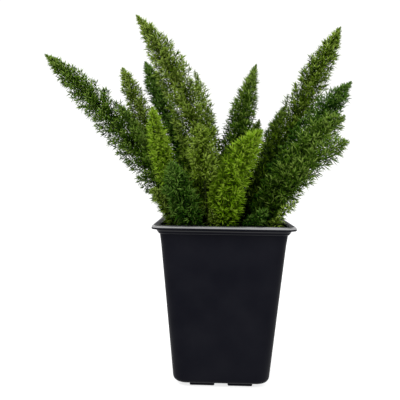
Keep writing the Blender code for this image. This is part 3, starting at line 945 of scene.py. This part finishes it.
def add_drains(group, origin):
    """Cutters for five holes, in the middle and near the corners of the floor."""
    shape = bmesh.new()
    size = {"radius1": DRAIN_RADIUS, "radius2": DRAIN_RADIUS, "depth": DRAIN_CUT}
    bmesh.ops.create_cone(shape, cap_ends=True, segments=DRAIN_SIDES, **size)
    mesh = to_mesh(shape, "drain")
    spreads = (-DRAIN_SPREAD, DRAIN_SPREAD)
    for x, y in [(0, 0)] + [(x, y) for x in spreads for y in spreads]:
        drain = new_object("drain", mesh, group)
        drain.location = Vector((x, y, FLOOR_UNDERSIDE)) + origin


def combine(thing, add_tools, origin, operation):
    """Joins or cuts with a set of helper objects, takes the result as the mesh and removes them."""
    tools = bpy.data.collections.new(operation)
    bpy.context.scene.collection.children.link(tools)
    add_tools(tools, origin)
    step = thing.modifiers.new(operation, "BOOLEAN")
    step.operation = operation
    step.operand_type = "COLLECTION"
    step.collection = tools
    bpy.context.view_layer.update()
    worked = thing.evaluated_get(bpy.context.evaluated_depsgraph_get())
    result = bpy.data.meshes.new_from_object(worked)
    thing.modifiers.clear()
    thing.data = result
    for tool in list(tools.objects):
        bpy.data.objects.remove(tool)
    bpy.data.collections.remove(tools)


def finish_at(height, pot):
    """A pot face's finish: smooth with a painted sheen round the lip, ridge on the collar's two edges, and
    dull elsewhere.
    """
    upper = pot.band_foot()
    lower = pot.collar_foot() + COLLAR_EDGE
    if height > pot.height - FLAT_MARGIN:
        return DULL
    if height > pot.height - LIP_TOP_EDGE:
        return SMOOTH_PAINTED_SHEEN
    on_ridge = upper < height < upper + RIDGE_HEIGHT or lower < height < lower + 2 * COLLAR_EDGE
    return RIDGE if on_ridge else DULL


def add_pot(pot):
    shape = loft(pot_rings(pot))
    bmesh.ops.translate(shape, vec=pot.origin, verts=shape.verts)
    piece = new_piece("pot_shell", to_mesh(shape, "pot_shell"), [])
    combine(piece, add_feet, Vector(pot.origin), "UNION")
    combine(piece, add_drains, Vector(pot.origin), "DIFFERENCE")
    piece.data.materials.clear()
    for name in FINISHES:
        piece.data.materials.append(pot_material(name))
    for face in piece.data.polygons:
        face.material_index = finish_at(face.center.z, pot)
    piece.data.shade_smooth()
    piece.data.set_sharp_from_angle(angle=SHARP_ANGLE)
    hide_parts("pot")


# Soil

def soil_height(x, y, half, pot):
    """The crumbly surface, which drops towards the wall."""
    edge = max(0, 1 - (half - max(abs(x), abs(y))) / SOIL_EDGE_WIDTH)
    bumps = noise.fractal(Vector((x, y, 0)) * SOIL_BUMP_SCALE, *SOIL_BUMP_FRACTAL) * SOIL_BUMP
    return pot.soil_top - SOIL_EDGE_DROP * edge**2 + min(bumps, SOIL_BUMP) - SOIL_BUMP


def add_soil(pot):
    """A block from deep in the pot up to a crumbly surface."""
    top = pot.soil_top - SOIL_EDGE_DROP
    low = pot.soil_top - SOIL_DEPTH
    inset = WALL + SOIL_GAP
    half, corner = pot.wall_half(top) - inset, pot.wall_corner(top) - inset
    rings = [ring(pot.wall_half(low) - inset, pot.wall_corner(low) - inset, low)]
    rings.append(ring(half, corner, top - SOIL_BUMP))
    for step in range(SOIL_RINGS):
        size = 1 - step / SOIL_RINGS
        flat = ring(half * size, corner * size, 0)
        rings.append([(x, y, soil_height(x, y, half, pot)) for x, y, _ in flat])
    shape = loft(rings)
    bmesh.ops.translate(shape, vec=pot.origin, verts=shape.verts)
    piece = new_piece("soil_block", to_mesh(shape, "soil_block"), [soil_material()])
    piece.data.shade_smooth()
    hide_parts("soil")


def add_grains(name, pot, material, count, sizes, flatness, seed):
    """Small rough lumps that lie half sunk in the soil."""
    random = np.random.default_rng(seed)
    shape = bmesh.new()
    half = pot.wall_half(pot.soil_top) - WALL - sizes[1] * 2
    for _ in range(count):
        x, y = random.uniform(-half, half, 2)
        z = soil_height(x, y, half, pot)
        length = random.uniform(*sizes)
        size = length * np.array((1, random.uniform(*GRAIN_WIDTH), random.uniform(*flatness)))
        grown = bmesh.ops.create_icosphere(shape, subdivisions=1, radius=1)["verts"]
        for corner in grown:
            corner.co *= random.uniform(*GRAIN_ROUGHNESS)
        lie = Matrix.Rotation(random.uniform(0, 2 * math.pi), 4, "Z")
        lie = lie @ Matrix.Rotation(random.uniform(-GRAIN_LEAN, GRAIN_LEAN), 4, "X")
        place = Matrix.Translation(Vector((x, y, z)) + Vector(pot.origin))
        bmesh.ops.transform(shape, matrix=place @ lie @ Matrix.Diagonal((*size, 1)), verts=grown)
    piece = new_piece(name, to_mesh(shape, name), [material])


# Stage

def add_floor():
    """A pale light table, which glows a little, so that shadows on it stay faint."""
    shape = bmesh.new()
    bmesh.ops.create_circle(shape, cap_ends=True, segments=FLOOR_SIDES, radius=FLOOR_RADIUS)
    floor = new_object("floor", to_mesh(shape, "floor"))
    floor.location.z = -FLOOR_DROP
    material, _, shader = new_material("floor_pale", *FLOOR_GLOSS)
    shader.inputs["Base Color"].default_value = (FLOOR_GREY, FLOOR_GREY, FLOOR_GREY, 1)
    shader.inputs["Emission Color"].default_value = (1, 1, 1, 1)
    shader.inputs["Emission Strength"].default_value = FLOOR_GLOW
    floor.data.materials.append(material)


def add_world():
    """An even white sky."""
    world = bpy.data.worlds.new("studio")
    bpy.context.scene.world = world
    world.use_nodes = True
    back = world.node_tree.nodes["Background"]
    back.inputs["Color"].default_value = (1, 1, 1, 1)
    back.inputs["Strength"].default_value = SKY_STRENGTH


def add_light(name, place, target, size, watts):
    """A soft disk of light that no surface mirrors, so the rim's sheen stays even."""
    light = bpy.data.lights.new(name, "AREA")
    light.shape = "DISK"
    light.size = size
    light.energy = watts
    lamp = new_object(name, light)
    lamp.location = place
    lamp.visible_glossy = False
    lamp.rotation_euler = (target - place).to_track_quat("-Z", "Y").to_euler()


def add_lights(origin):
    target = Vector(origin) + Vector((0, 0, AIM_HEIGHT))
    for name, (place, size, watts) in LIGHTS.items():
        add_light(name, target + Vector(place), target, size, watts)


def add_camera(origin):
    camera = bpy.data.cameras.new("camera")
    camera.sensor_width = SENSOR_WIDTH
    camera.lens = SENSOR_WIDTH * FOCAL_PIXELS / PHOTO_WIDTH
    eye = new_object("camera", camera)
    turn = Matrix.Rotation(math.radians(CAMERA_YAW), 4, "Z")
    turn = turn @ Matrix.Rotation(math.radians(90 - CAMERA_PITCH), 4, "X")
    turn = turn @ Matrix.Rotation(math.radians(CAMERA_ROLL), 4, "Z")
    eye.matrix_world = Matrix.Translation(Vector(origin) + Vector(CAMERA_PLACE)) @ turn
    bpy.context.scene.camera = eye


def build():
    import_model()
    bpy.context.scene.view_settings.view_transform = "Standard"
    pot = Pot()
    add_plumes(pot)
    add_pot(pot)
    add_soil(pot)
    add_grains("soil_chips", pot, chip_material(), **CHIPS)
    add_grains("soil_perlite", pot, perlite_material(), **PERLITE)
    add_floor()
    add_world()
    add_lights(pot.origin)
    add_camera(pot.origin)


build()
